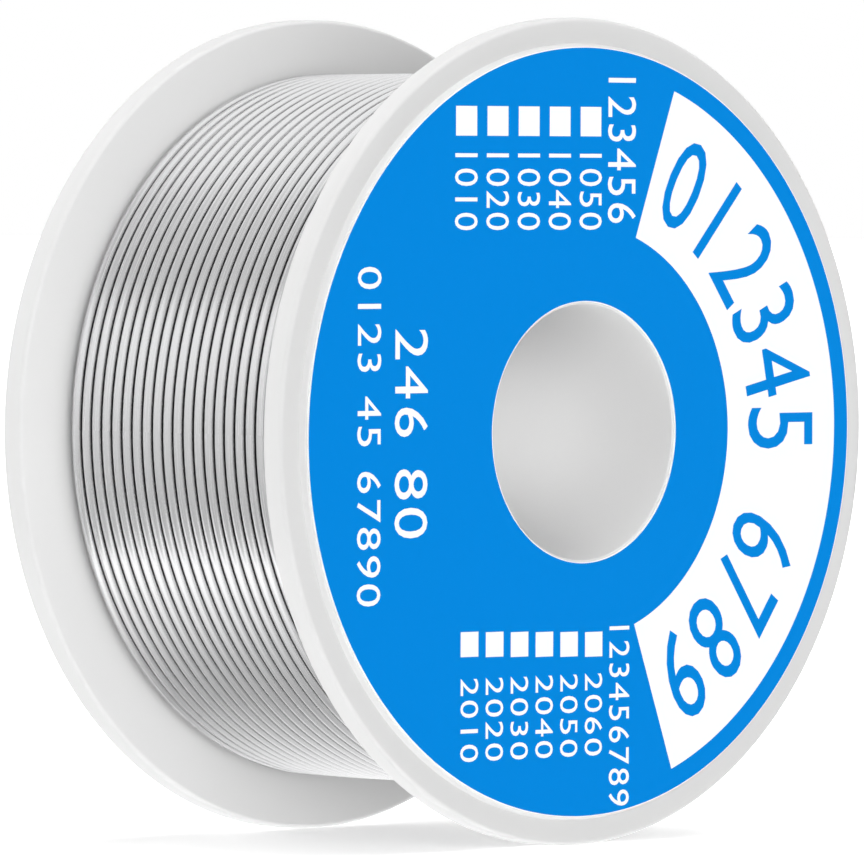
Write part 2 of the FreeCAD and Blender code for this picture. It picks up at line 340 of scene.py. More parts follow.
def coated_paper(name, colours):
    """Coated paper, die cut: matt white with a faint mottle of fibres."""
    material, tree = new_material(name)
    # One fibre is too fine to show, so the mottle is as wide as their clumps.
    clump_width = 0.4 * MM
    place = add_node(tree, "ShaderNodeTexCoord").outputs["Object"]
    clumps = add_node(tree, "ShaderNodeTexNoise", {
        "Vector": place, "Scale": 1 / clump_width, "Detail": 3.0})
    tone = add_node(tree, "ShaderNodeMix", {
        MIX_SHARE: clumps.outputs["Fac"], MIX_FIRST: deeper(colours.paper, 0.98),
        MIX_SECOND: colours.paper}, data_type="RGBA")
    relief = add_node(tree, "ShaderNodeBump", {
        "Height": clumps.outputs["Fac"], "Strength": 0.05, "Distance": 0.01 * MM})
    surface = add_node(tree, "ShaderNodeBsdfPrincipled", {
        "Base Color": tone.outputs[MIX_RESULT], "Roughness": 0.5, "IOR": 1.45,
        "Normal": relief.outputs["Normal"]})
    add_node(tree, "ShaderNodeOutputMaterial", {"Surface": surface.outputs["BSDF"]})
    return material


def printed_ink(name, colours):
    """Offset ink on coated paper: one even blue with a slight mottle, a low sheen and the paper's relief."""
    material, tree = new_material(name)
    mottle_width, clump_width = 0.8 * MM, 0.25 * MM
    place = add_node(tree, "ShaderNodeTexCoord").outputs["Object"]
    mottle = add_node(tree, "ShaderNodeTexNoise", {
        "Vector": place, "Scale": 1 / mottle_width, "Detail": 3.0})
    clumps = add_node(tree, "ShaderNodeTexNoise", {
        "Vector": place, "Scale": 1 / clump_width, "Detail": 2.0})
    tone = add_node(tree, "ShaderNodeMix", {
        MIX_SHARE: mottle.outputs["Fac"], MIX_FIRST: deeper(colours.blue_print, 0.97),
        MIX_SECOND: colours.blue_print}, data_type="RGBA")
    gloss = add_node(tree, "ShaderNodeMapRange", {
        "Value": mottle.outputs["Fac"], "From Min": 0.3, "From Max": 0.7, "To Min": 0.34, "To Max": 0.42})
    relief = add_node(tree, "ShaderNodeBump", {
        "Height": clumps.outputs["Fac"], "Strength": 0.04, "Distance": 0.01 * MM})
    surface = add_node(tree, "ShaderNodeBsdfPrincipled", {
        "Base Color": tone.outputs[MIX_RESULT], "Roughness": gloss.outputs["Result"], "IOR": 1.45,
        "Specular IOR Level": 0.1, "Normal": relief.outputs["Normal"]})
    add_node(tree, "ShaderNodeOutputMaterial", {"Surface": surface.outputs["BSDF"]})
    return material


def drawn_wire(name, sizes, colours, crown_radius, shaded_brightness, shade_film):
    """Tin-lead wire, drawn: bright on the crown of a turn, with fine streaks along it, and painted shade
    between turns.

    A share of the crown under a dull grey film, and a shine below 1 that darkens the whole metal, are
    painted shade.
    """
    material, tree = new_material(name)
    # The die's real marks are too fine to show, so these are wider.
    mark_width, mark_length = 0.07 * MM, 8 * MM
    # A turn is bright from its crown down to the first depth, and darker under the second: painted shade in
    # the valleys between turns.
    unshaded_depth, shade_depth = 0.26 * MM, 0.38 * MM
    place = add_node(tree, "ShaderNodeTexCoord").outputs["Object"]
    axes = add_node(tree, "ShaderNodeSeparateXYZ", {"Vector": place}).outputs
    flat = add_node(tree, "ShaderNodeCombineXYZ", {"X": axes["X"], "Z": axes["Z"]})
    reach = add_node(
        tree, "ShaderNodeVectorMath", {0: flat.outputs["Vector"]}, operation="LENGTH").outputs["Value"]
    turned = add_node(tree, "ShaderNodeMath", {0: axes["Z"], 1: axes["X"]}, operation="ARCTAN2")
    along = add_node(tree, "ShaderNodeMath", {
        0: turned.outputs["Value"], 1: sizes.winding_radius / mark_length}, operation="MULTIPLY")
    across = add_node(tree, "ShaderNodeMath", {0: axes["Y"], 1: 1 / mark_width}, operation="MULTIPLY")
    height = add_node(tree, "ShaderNodeMath", {0: reach, 1: 1 / mark_width}, operation="MULTIPLY")
    lengthwise = add_node(tree, "ShaderNodeCombineXYZ", {
        "X": along.outputs["Value"], "Y": across.outputs["Value"], "Z": height.outputs["Value"]})
    marks = add_node(tree, "ShaderNodeTexNoise", {
        "Vector": lengthwise.outputs["Vector"], "Scale": 1.0, "Detail": 3.0})
    crown = add_node(tree, "ShaderNodeMapRange", {
        "Value": reach, "From Min": crown_radius - shade_depth, "From Max": crown_radius - unshaded_depth},
        interpolation_type="SMOOTHSTEP")
    # Shine below 1 darkens the whole metal: painted shade for the layer under the outer turns.
    bright = add_node(tree, "ShaderNodeMix", {
        MIX_SHARE: marks.outputs["Fac"], MIX_FIRST: deeper(colours.wire_bright, 0.86 * shaded_brightness),
        MIX_SECOND: deeper(colours.wire_bright, shaded_brightness)}, data_type="RGBA")
    # The valleys take the dark valley colour: painted shade between the turns.
    tone = add_node(tree, "ShaderNodeMix", {
        MIX_SHARE: crown.outputs["Result"], MIX_FIRST: colours.wire_valley_shade,
        MIX_SECOND: bright.outputs[MIX_RESULT]}, data_type="RGBA")
    # In the valleys, half of the metal loses its shine, which deepens the painted shade between turns.
    metal_with_painted_shade = add_node(tree, "ShaderNodeMapRange", {
        "Value": crown.outputs["Result"], "To Min": 0.5, "To Max": 1.0 - shade_film})
    gloss = add_node(tree, "ShaderNodeMapRange", {
        "Value": marks.outputs["Fac"], "From Min": 0.3, "From Max": 0.7, "To Min": 0.21, "To Max": 0.29})
    relief = add_node(tree, "ShaderNodeBump", {
        "Height": marks.outputs["Fac"], "Strength": 0.10, "Distance": 0.01 * MM})
    # The marks spread a highlight across the wire and leave it sharp along it.
    lay = add_node(tree, "ShaderNodeTangent", direction_type="RADIAL", axis="Y")
    surface = add_node(tree, "ShaderNodeBsdfPrincipled", {
        "Base Color": tone.outputs[MIX_RESULT], "Metallic": metal_with_painted_shade.outputs["Result"],
        "Roughness": gloss.outputs["Result"], "Anisotropic": 0.8, "Anisotropic Rotation": 0.25,
        "Tangent": lay.outputs["Tangent"], "Normal": relief.outputs["Normal"]})
    add_node(tree, "ShaderNodeOutputMaterial", {"Surface": surface.outputs["BSDF"]})
    return material


def rosin_flux(name, colours):
    """Rosin, solid: amber and glassy, with darker clouds in it."""
    material, tree = new_material(name)
    cloud_width = 0.1 * MM
    place = add_node(tree, "ShaderNodeTexCoord").outputs["Object"]
    clouds = add_node(tree, "ShaderNodeTexNoise", {
        "Vector": place, "Scale": 1 / cloud_width, "Detail": 2.0})
    tone = add_node(tree, "ShaderNodeMix", {
        MIX_SHARE: clouds.outputs["Fac"], MIX_FIRST: deeper(colours.flux, 0.6),
        MIX_SECOND: colours.flux}, data_type="RGBA")
    surface = add_node(tree, "ShaderNodeBsdfPrincipled", {
        "Base Color": tone.outputs[MIX_RESULT], "Roughness": 0.22, "IOR": 1.53})
    add_node(tree, "ShaderNodeOutputMaterial", {"Surface": surface.outputs["BSDF"]})
    return material


def opal_glass(name, colours):
    """Opal glass, lit from below: the plain pale floor, with an even frosting."""
    material, tree = new_material(name)
    frost_width = 1.5 * MM
    place = add_node(tree, "ShaderNodeTexCoord").outputs["Object"]
    frost = add_node(tree, "ShaderNodeTexNoise", {
        "Vector": place, "Scale": 1 / frost_width, "Detail": 1.0})
    tone = add_node(tree, "ShaderNodeMix", {
        MIX_SHARE: frost.outputs["Fac"], MIX_FIRST: deeper(colours.floor, 0.99),
        MIX_SECOND: colours.floor}, data_type="RGBA")
    surface = add_node(tree, "ShaderNodeBsdfPrincipled", {
        "Base Color": tone.outputs[MIX_RESULT], "Roughness": 0.8, "IOR": 1.5,
        "Emission Color": colours.floor, "Emission Strength": 0.4})
    add_node(tree, "ShaderNodeOutputMaterial", {"Surface": surface.outputs["BSDF"]})
    return material


def finish(name, maker, *facts):
    """Material of a finish, made the first time that a piece asks for it."""
    return bpy.data.materials.get(name) or maker(name, *facts)


def abs_finish(context):
    """Finish of the moulded pieces."""
    return finish("white ABS, injection moulded", moulded_abs, context.scene.reel_colours)


def paper_finish(context):
    """Finish of the label's paper."""
    return finish("coated paper, die cut", coated_paper, context.scene.reel_colours)


def ink_finish(context):
    """Finish of the label's print."""
    return finish("blue ink, offset printed", printed_ink, context.scene.reel_colours)


def add_piece(name, shape, materials, node=None):
    """Object of a mesh modelled in millimetres, on its body and the node it stands for."""
    mesh = shape
    if isinstance(shape, bmesh.types.BMesh):
        mesh = bpy.data.meshes.new(name)
        shape.to_mesh(mesh)
        shape.free()
    mesh.name = name
    mesh.transform(Matrix.Scale(MM, 4))
    for material in materials:
        mesh.materials.append(material)
    mesh.shade_smooth()
    mesh.set_sharp_from_angle(angle=SHARP_ANGLE)
    piece = bpy.data.objects.new(name, mesh)
    bpy.context.scene.collection.objects.link(piece)
    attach(piece, BODY)
    if node:
        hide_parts(node)


def turned_solid(corners, steps=ROUND_STEPS):
    """Closed section of (radius, height) corners turned once round the Y axis."""
    shape = bmesh.new()
    points = [shape.verts.new((radius, height, 0.0)) for radius, height in corners]
    for start, end in zip(points, points[1:] + points[:1]):
        shape.edges.new((start, end))
    bmesh.ops.spin(
        shape, geom=shape.verts[:] + shape.edges[:], cent=(0, 0, 0), axis=(0, 1, 0), dvec=(0, 0, 0),
        angle=2 * math.pi, steps=steps, use_merge=True)
    bmesh.ops.remove_doubles(shape, verts=shape.verts[:], dist=TOUCH)
    bmesh.ops.recalc_face_normals(shape, faces=shape.faces[:])
    return shape


def round_rings(shape, rings, amount, segments):
    """Round the circles at these (radius, height) places."""
    def lies_on(vert, ring):
        reach = math.hypot(vert.co.x, vert.co.z)
        return abs(reach - ring[0]) < 10 * TOUCH and abs(vert.co.y - ring[1]) < 10 * TOUCH

    edges = [edge for edge in shape.edges
             if any(all(lies_on(vert, ring) for vert in edge.verts) for ring in rings)]
    bmesh.ops.bevel(
        shape, geom=edges, offset=amount, offset_type="OFFSET", segments=segments, profile=0.5,
        affect="EDGES", material=-1)


def combined(shape, tools, operation):
    """Mesh of a shape with tool shapes cut from it or joined to it."""
    def as_object(name, part):
        mesh = bpy.data.meshes.new(name)
        part.to_mesh(mesh)
        part.free()
        thing = bpy.data.objects.new(name, mesh)
        bpy.context.scene.collection.objects.link(thing)
        return thing

    work = as_object("work", shape)
    helpers = [as_object("tool", tool) for tool in tools]
    for helper in helpers:
        step = work.modifiers.new("step", "BOOLEAN")
        step.operation, step.solver, step.object = operation, "EXACT", helper
    depsgraph = bpy.context.evaluated_depsgraph_get()
    result = bpy.data.meshes.new_from_object(work.evaluated_get(depsgraph))
    for thing in [work] + helpers:
        mesh = thing.data
        bpy.data.objects.remove(thing)
        bpy.data.meshes.remove(mesh)
    return result


def round_pin(radius, low, high, across=0.0, up=0.0, flare=0.0):
    """Closed pin along Y, for cutting a hole. A flare widens both of its ends."""
    corners = [(0.0, low), (radius, low), (radius, high), (0.0, high)]
    if flare:
        wide, lip = radius + flare, FLARE_LIP
        corners = [(0.0, low), (wide, low), (wide, low + lip), (radius, low + lip + flare),
                   (radius, high - lip - flare), (wide, high - lip), (wide, high), (0.0, high)]
    shape = turned_solid(corners, HOLE_STEPS)
    bmesh.ops.translate(shape, verts=shape.verts[:], vec=(across, 0.0, up))
    return shape


def make_flange(context, name, node, faces_front):
    """One moulded flange: rim, label seat, groove for the drum and tie hole."""
    sizes = context.scene.reel_sizes
    inner, seat = millimetres(sizes.inner_face), millimetres(sizes.seat_face)
    rim = inner + millimetres(sizes.flange_wall)
    outside, seat_radius = millimetres(sizes.flange_radius), millimetres(sizes.seat_radius)
    gap = millimetres(sizes.bond_gap)
    hole = millimetres(sizes.bore_radius + sizes.bore_wall) + gap
    groove_inside = millimetres(sizes.drum_radius - sizes.drum_wall) - gap
    groove_outside = millimetres(sizes.drum_radius) + gap
    groove_floor = inner + millimetres(sizes.socket_depth)
    shape = turned_solid([
        (hole, inner), (groove_inside, inner), (groove_inside, groove_floor),
        (groove_outside, groove_floor), (groove_outside, inner), (outside, inner), (outside, rim),
        (seat_radius + millimetres(sizes.seat_slope), rim), (seat_radius, seat), (hole, seat)])
    round_rings(shape, [(outside, inner), (outside, rim)], millimetres(sizes.rim_round), segments=5)
    round_rings(shape, [(seat_radius, seat)], millimetres(sizes.seat_round), segments=4)
    coil_radius = millimetres(sizes.winding_radius - sizes.wire_diameter / 2)
    cutters = [round_pin(
        millimetres(sizes.tie_hole_radius), inner - HOLE_MARGIN, seat + HOLE_MARGIN,
        across=math.hypot(coil_radius, millimetres(sizes.wire_bend)), flare=TIE_HOLE_FLARE)]
    for number in range(PIN_MARKS):
        angle = math.radians(FIRST_PIN_MARK + 360 / PIN_MARKS * number)
        cutters.append(round_pin(
            PIN_MARK_RADIUS, seat - PIN_MARK_DEPTH, seat + MARK_MARGIN,
            PIN_MARK_REACH * math.cos(angle), PIN_MARK_REACH * math.sin(angle)))
    cutters.append(round_pin(GATE_RADIUS, seat - GATE_DEPTH, seat + MARK_MARGIN, up=GATE_REACH))
    mesh = combined(shape, cutters, "DIFFERENCE")
    if faces_front:
        mesh.transform(Matrix.Rotation(math.pi, 4, "Z"))
    add_piece(name, mesh, [abs_finish(context)], node)


def wire_ring(shape, coil_radius, radius, turned, height, sides):
    """Ring of the wire's section, at an angle round the reel and a height along it. Gives its edges."""
    place = Matrix.Rotation(turned, 4, "Y") @ Matrix.Translation((coil_radius, height, 0.0))
    circle = bmesh.ops.create_circle(shape, cap_ends=False, radius=radius, segments=sides, matrix=place)
    return list(dict.fromkeys(edge for vert in circle["verts"] for edge in vert.link_edges))


def swept(shape, edges, centre, axis, angle, steps, rise=0.0):
    """Sweep a ring round an axis while it rises along the reel. Gives the last ring's edges."""
    verts = list(dict.fromkeys(vert for edge in edges for vert in edge.verts))
    done = bmesh.ops.spin(
        shape, geom=verts + edges, cent=centre, axis=axis, dvec=(0.0, rise / steps, 0.0), angle=angle,
        steps=steps, use_merge=False)
    return [item for item in done["geom_last"] if isinstance(item, bmesh.types.BMEdge)]


def coil(shape, coil_radius, radius, pitch, turns, low, lead, hand, sides):
    """Turns of wire, wound one way or the other as hand is 1 or -1.

    Both ends stop short of whole turns by an angle, the lead, to leave room for the wire's bent ends.
    """
    for angle, count in ((2 * math.pi, turns - 1), (2 * math.pi - 2 * lead, 1)):
        single = bmesh.new()
        edges = wire_ring(single, coil_radius, radius, hand * lead, low, sides)
        steps = round(TURN_STEPS * angle / (2 * math.pi))
        swept(single, edges, (0, 0, 0), (0, hand, 0), angle, steps, pitch * angle / (2 * math.pi))
        mesh = bpy.data.meshes.new("turn")
        single.to_mesh(mesh)
        single.free()
        for number in range(count):
            shape.from_mesh(mesh)
            mesh.transform(Matrix.Translation((0.0, pitch, 0.0)))
        bpy.data.meshes.remove(mesh)
        low += pitch * count


def bent_end(shape, coil_radius, radius, turned, height, bend, end, sides):
    """Wire that leaves its coil by a right-angled bend and runs straight along the reel. Gives its cap."""
    edges = wire_ring(shape, coil_radius, radius, turned, height, sides)
    outward = Vector((math.cos(turned), 0.0, -math.sin(turned)))
    way = 1.0 if end > height else -1.0
    centre = outward * coil_radius + Vector((0.0, height + way * bend, 0.0))
    edges = swept(shape, edges, centre, outward, math.pi / 2, BEND_STEPS)
    step = bmesh.ops.extrude_edge_only(shape, edges=edges)
    verts = [item for item in step["geom"] if isinstance(item, bmesh.types.BMVert)]
    edges = [item for item in step["geom"] if isinstance(item, bmesh.types.BMEdge) and
             all(vert in verts for vert in item.verts)]
    bmesh.ops.translate(shape, verts=verts, vec=(0.0, end - height - way * bend, 0.0))
    return bmesh.ops.edgeloop_fill(shape, edges=edges)["faces"]


def on_label(drawing, across, up, turn, level, sizes):
    """Lay a flat mesh, drawn in its own XY plane, on the label, at a level above its face."""
    face = millimetres(label_low[1]) - millimetres(sizes.ink_film) * level
    place = Matrix.Translation((across, face, up))
    upright = Matrix.Rotation(math.pi / 2, 4, "X")
    drawing.transform(place @ upright @ Matrix.Rotation(turn, 4, "Z"))


def film_solid(shape, sizes):
    """Give a flat shape, drawn in the XY plane, the thickness of ink."""
    film = millimetres(sizes.ink_film)
    bmesh.ops.recalc_face_normals(shape, faces=shape.faces[:])
    step = bmesh.ops.extrude_face_region(shape, geom=shape.faces[:])
    verts = [item for item in step["geom"] if isinstance(item, bmesh.types.BMVert)]
    bmesh.ops.translate(shape, verts=verts, vec=(0.0, 0.0, film))
    bmesh.ops.recalc_face_normals(shape, faces=shape.faces[:])


def white_band(sizes):
    """Broad white arc round the right side of the label."""
    band = bmesh.new()
    ends = [band.verts.new((reach, 0.0, 0.0)) for reach in (BAND_INSIDE, BAND_OUTSIDE)]
    edge = band.edges.new(ends)
    half = math.radians(BAND_HALF_ANGLE)
    bmesh.ops.rotate(band, verts=ends, cent=(0, 0, 0), matrix=Matrix.Rotation(-half, 3, "Z"))
    bmesh.ops.spin(
        band, geom=ends + [edge], cent=(0, 0, 0), axis=(0, 0, 1), dvec=(0, 0, 0), angle=2 * half,
        steps=BAND_STEPS, use_merge=False)
    film_solid(band, sizes)
    on_label(band, 0.0, 0.0, 0.0, PAPER_LEVEL, sizes)
    return band


def tick_boxes(sizes):
    """Both rows of small white boxes."""
    boxes = bmesh.new()
    for row in TICK_ROWS:
        for number in range(row.boxes):
            square = bmesh.ops.create_grid(boxes, x_segments=1, y_segments=1, size=row.side / 2)
            place = (row.first_across + row.pitch * number, row.up - row.drop * number, 0.0)
            bmesh.ops.translate(boxes, verts=square["verts"], vec=place)
    film_solid(boxes, sizes)
    on_label(boxes, 0.0, 0.0, 0.0, PAPER_LEVEL, sizes)
    return boxes


def band_numbers():
    """Digits that stand along the white band, with a gap at the space."""
    rows = []
    for place, digit in enumerate(BAND_DIGITS):
        angle = math.radians(FIRST_BAND_DIGIT - BAND_DIGIT_STEP * place)
        across, up = BAND_DIGIT_REACH * math.cos(angle), BAND_DIGIT_REACH * math.sin(angle)
        if digit != " ":
            rows.append(NumberRow(
                digit, BAND_DIGIT_HEIGHT, BAND_DIGIT_WIDTH, across, up, angle - math.pi / 2))
    return rows


def tick_numbers():
    """Plain numbers under the tick boxes, which read downwards."""
    return [NumberRow(str(row.first_number + TICK_NUMBER_STEP * number), row.number_height,
                      row.number_width, row.first_across + row.pitch * number, row.number_up)
            for row in TICK_ROWS for number in range(row.boxes)]


def drawn_digits(row, film):
    """Mesh of a row of digits in the XY plane, with its middle at the origin and the thickness of ink."""
    curve = bpy.data.curves.new("digits", "FONT")
    curve.body = row.digits
    curve.resolution_u = 4
    curve.space_character = 1.12
    # The digits are 1 thick at first, half of it on each side.
    curve.extrude = 0.5
    writing = bpy.data.objects.new("digits", curve)
    bpy.context.scene.collection.objects.link(writing)
    depsgraph = bpy.context.evaluated_depsgraph_get()
    mesh = bpy.data.meshes.new_from_object(writing.evaluated_get(depsgraph))
    bpy.data.objects.remove(writing)
    bpy.data.curves.remove(curve)
    xs, ys = [vert.co.x for vert in mesh.vertices], [vert.co.y for vert in mesh.vertices]
    centre = Matrix.Translation((-(min(xs) + max(xs)) / 2, -(min(ys) + max(ys)) / 2, 0.5))
    scale = row.height / (max(ys) - min(ys))
    mesh.transform(Matrix.Diagonal((scale * row.width, scale, film, 1.0)) @ centre)
    return mesh


def printed_numbers(rows, level, sizes):
    """Rows of digits on the label as one shape."""
    film = millimetres(sizes.ink_film)
    joined = bmesh.new()
    for row in rows:
        mesh = drawn_digits(row, film)
        on_label(mesh, row.across, row.up, row.turn, level, sizes)
        joined.from_mesh(mesh)
        bpy.data.meshes.remove(mesh)
    bmesh.ops.remove_doubles(joined, verts=joined.verts[:], dist=film / 10)
    return joined


def light_ramp(tree, value, stops):
    """Brightness that follows a value from 0 to 1 through (place, brightness) stops."""
    ramp = add_node(tree, "ShaderNodeValToRGB", {"Fac": value})
    elements = ramp.color_ramp.elements
    while len(elements) < len(stops):
        elements.new(1.0)
    for element, (place, brightness) in zip(elements, stops):
        element.position = place
        element.color = (brightness, brightness, brightness, 1.0)
    return ramp.outputs["Color"]


def soft_lights(tree, direction, axes):
    """Shader of the soft walls and lamps, which light the reel's dull surfaces."""
    # The walls are a bright band round the reel's rims, dimmer on the left, and dark before and behind it.
    ahead = add_node(tree, "ShaderNodeMapRange", {"Value": axes["Y"], "From Min": -1.0, "From Max": 1.0})
    walls = light_ramp(tree, ahead.outputs["Result"], WALLS)
    rightward = add_node(tree, "ShaderNodeMapRange", {
        "Value": axes["X"], "From Min": -0.8, "From Max": 0.3, "To Min": 0.05, "To Max": 5.0},
        interpolation_type="SMOOTHSTEP")
    steep = add_node(tree, "ShaderNodeMath", {0: axes["Z"], 1: axes["Z"]}, operation="MULTIPLY")
    ends = add_node(tree, "ShaderNodeMapRange", {
        "Value": steep.outputs["Value"], "To Min": 0.48, "To Max": 0.83})
    wall_strength = add_node(tree, "ShaderNodeMath", {
        0: rightward.outputs["Result"], 1: ends.outputs["Result"]}, operation="MULTIPLY")
    total = add_node(tree, "ShaderNodeBackground", {
        "Color": walls, "Strength": wall_strength.outputs["Value"]}).outputs["Background"]
    for way, fade, strength in LAMPS:
        toward = add_node(tree, "ShaderNodeVectorMath", {
            0: direction, 1: Vector(way).normalized()}, operation="DOT_PRODUCT")
        lamp = add_node(tree, "ShaderNodeMapRange", {
            "Value": toward.outputs["Value"], "From Min": fade, "From Max": LAMP_FULL, "To Max": strength},
            interpolation_type="SMOOTHSTEP")
        light = add_node(tree, "ShaderNodeBackground", {
            "Color": WHITE, "Strength": lamp.outputs["Result"]})
        total = add_node(tree, "ShaderNodeAddShader", {
            0: total, 1: light.outputs["Background"]}).outputs["Shader"]
    return total


def mirrored_panels(tree, direction, axes):
    """Shader of the panels of light and shade that bright pieces mirror, all round the reel's axis."""
    leftward = add_node(tree, "ShaderNodeMath", {0: axes["X"], 1: -1.0}, operation="MULTIPLY")
    around = add_node(tree, "ShaderNodeMath", {
        0: axes["Z"], 1: leftward.outputs["Value"]}, operation="ARCTAN2")
    turned = add_node(tree, "ShaderNodeMapRange", {
        "Value": around.outputs["Value"], "From Min": -math.pi, "From Max": math.pi})
    panels = light_ramp(tree, turned.outputs["Result"], [
        (degrees / 360 + 0.5, brightness / PANEL_SCALE) for degrees, brightness in PANELS])
    # A dark flag stands in front on the right, where the label mirrors it, so that the print stays deep.
    flag_way = Vector((0.70, -0.71, 0.0)).normalized()
    shaded = add_node(tree, "ShaderNodeVectorMath", {0: direction, 1: flag_way}, operation="DOT_PRODUCT")
    flag = add_node(tree, "ShaderNodeMapRange", {
        "Value": shaded.outputs["Value"], "From Min": 0.45, "From Max": 0.80, "To Min": PANEL_SCALE,
        "To Max": 0.06}, interpolation_type="SMOOTHSTEP")
    return add_node(tree, "ShaderNodeBackground", {
        "Color": panels, "Strength": flag.outputs["Result"]}).outputs["Background"]


def build_studio_light(scene):
    """Studio: plain white to the camera, soft light for dull surfaces and panels for mirroring ones."""
    world = bpy.data.worlds.new("studio")
    scene.world = world
    world.use_nodes = True
    world.cycles.sampling_method = "NONE"
    tree = world.node_tree
    tree.nodes.clear()
    direction = add_node(tree, "ShaderNodeTexCoord").outputs["Generated"]
    axes = add_node(tree, "ShaderNodeSeparateXYZ", {"Vector": direction}).outputs
    soft = soft_lights(tree, direction, axes)
    mirrored = mirrored_panels(tree, direction, axes)
    plain = add_node(tree, "ShaderNodeBackground", {"Color": WHITE})
    path = add_node(tree, "ShaderNodeLightPath").outputs
    lit = add_node(tree, "ShaderNodeMixShader", {0: path["Is Glossy Ray"], 1: soft, 2: mirrored})
    seen = add_node(tree, "ShaderNodeMixShader", {
        0: path["Is Camera Ray"], 1: lit.outputs["Shader"], 2: plain.outputs["Background"]})
    add_node(tree, "ShaderNodeOutputWorld", {"Surface": seen.outputs["Shader"]})


class REEL_OT_camera(bpy.types.Operator):
    """Sets the camera that was fitted to the ellipses of the flanges, the label and the bore."""

    bl_idname = "solder_reel.camera"
    bl_label = "Camera"

    def execute(self, context):
        azimuth, elevation, roll = math.radians(-44.756), math.radians(1.449), math.radians(0.223)
        # The view is aimed a little to the left of the bore's middle and below it. In metres.
        distance, left, down = 0.79377, 0.000407, 0.000304
        level = Vector((math.cos(azimuth), math.sin(azimuth), 0.0))
        back = Vector((math.sin(azimuth) * math.cos(elevation), -math.cos(azimuth) * math.cos(elevation),
                       math.sin(elevation)))
        upright = back.cross(level)
        right = level * math.cos(roll) + upright * math.sin(roll)
        up = upright * math.cos(roll) - level * math.sin(roll)
        data = bpy.data.cameras.new("camera")
        data.lens, data.sensor_width = 450.5, 36.0
        data.clip_start, data.clip_end = 0.05, 20.0
        camera = bpy.data.objects.new("camera", data)
        context.scene.collection.objects.link(camera)
        camera.matrix_world = Matrix((right, up, back)).transposed().to_4x4()
        camera.location = back * distance - right * left - up * down
        context.scene.camera = camera
        return {"FINISHED"}


class REEL_OT_stage(bpy.types.Operator):
    """Sets up the plain pale floor and the soft studio light."""

    bl_idname = "solder_reel.stage"
    bl_label = "Stage"

    def execute(self, context):
        sizes, colours = context.scene.reel_sizes, context.scene.reel_colours
        floor_radius = 6.0
        shape = bmesh.new()
        bmesh.ops.create_circle(shape, cap_ends=True, radius=floor_radius, segments=64)
        bmesh.ops.translate(shape, verts=shape.verts[:], vec=(0.0, 0.0, -sizes.flange_radius))
        mesh = bpy.data.meshes.new("floor")
        shape.to_mesh(mesh)
        shape.free()
        mesh.materials.append(finish("opal glass, frosted", opal_glass, colours))
        floor = bpy.data.objects.new("floor", mesh)
        context.scene.collection.objects.link(floor)
        # A lit glass table: light comes through the floor, and the bright metal mirrors what is below it.
        floor.visible_glossy = False
        floor.visible_diffuse = False

        build_studio_light(context.scene)
        context.scene.view_settings.view_transform = "Standard"
        return {"FINISHED"}


class REEL_OT_flanges(bpy.types.Operator):
    """Models both moulded flanges."""

    bl_idname = "solder_reel.flanges"
    bl_label = "Flanges"

    def execute(self, context):
        make_flange(context, "front_flange_moulding", "front_flange", True)
        make_flange(context, "rear_flange_moulding", "rear_flange", False)
        return {"FINISHED"}


class REEL_OT_barrel(bpy.types.Operator):
    """Models the barrel: the drum, the webs and the bore tube, which passes both flanges."""

    bl_idname = "solder_reel.barrel"
    bl_label = "Barrel"

    def execute(self, context):
        sizes = context.scene.reel_sizes
        bore, end = millimetres(sizes.bore_radius), millimetres(sizes.seat_face)
        tube_radius = bore + millimetres(sizes.bore_wall)
        tube = turned_solid([(bore, -end), (tube_radius, -end), (tube_radius, end), (bore, end)])
        round_rings(tube, [(bore, -end), (bore, end)], millimetres(sizes.bore_chamfer), segments=3)

        drum_radius = millimetres(sizes.drum_radius)
        drum_inside = drum_radius - millimetres(sizes.drum_wall)
        drum_end = millimetres(sizes.inner_face + sizes.socket_depth)
        drum = turned_solid([
            (drum_inside, -drum_end), (drum_radius, -drum_end), (drum_radius, drum_end),
            (drum_inside, drum_end)])

        # A web runs from the middle of the tube's wall to the middle of the drum's.
        start = millimetres(sizes.bore_radius + sizes.bore_wall / 2)
        reach = millimetres(sizes.drum_radius - sizes.drum_wall / 2)
        web_size = (reach - start, 2 * millimetres(sizes.inner_face), millimetres(sizes.web_wall))
        webs = []
        for number in range(WEBS):
            web = bmesh.new()
            bmesh.ops.create_cube(web, size=1.0)
            bmesh.ops.scale(web, verts=web.verts[:], vec=web_size)
            bmesh.ops.translate(web, verts=web.verts[:], vec=((reach + start) / 2, 0.0, 0.0))
            turn = Matrix.Rotation(math.radians(FIRST_WEB + 360 / WEBS * number), 3, "Y")
            bmesh.ops.rotate(web, verts=web.verts[:], cent=(0, 0, 0), matrix=turn)
            webs.append(web)
        mesh = combined(tube, [drum] + webs, "UNION")
        add_piece("barrel_moulding", mesh, [abs_finish(context)], "barrel")
        return {"FINISHED"}


class REEL_OT_label(bpy.types.Operator):
    """Models the round paper label, printed blue up to its cut edges."""

    bl_idname = "solder_reel.label"
    bl_label = "Label"

    def execute(self, context):
        sizes = context.scene.reel_sizes
        outside, hole = millimetres(sizes.label_radius), millimetres(sizes.label_hole)
        margin = millimetres(sizes.label_margin)
        back, face = millimetres(label_high[1]), millimetres(label_low[1])
        shape = turned_solid([
            (hole, back), (outside, back), (outside, face), (outside - margin, face),
            (hole + margin, face), (hole, face)])
        for polygon in shape.faces:
            middle = polygon.calc_center_median()
            reach = math.hypot(middle.x, middle.z)
            printed = abs(middle.y - face) < TOUCH and hole + margin < reach < outside - margin
            polygon.material_index = 1 if printed else 0
        finishes = [paper_finish(context), ink_finish(context)]
        add_piece("label_sheet", shape, finishes, "front_label")
        return {"FINISHED"}


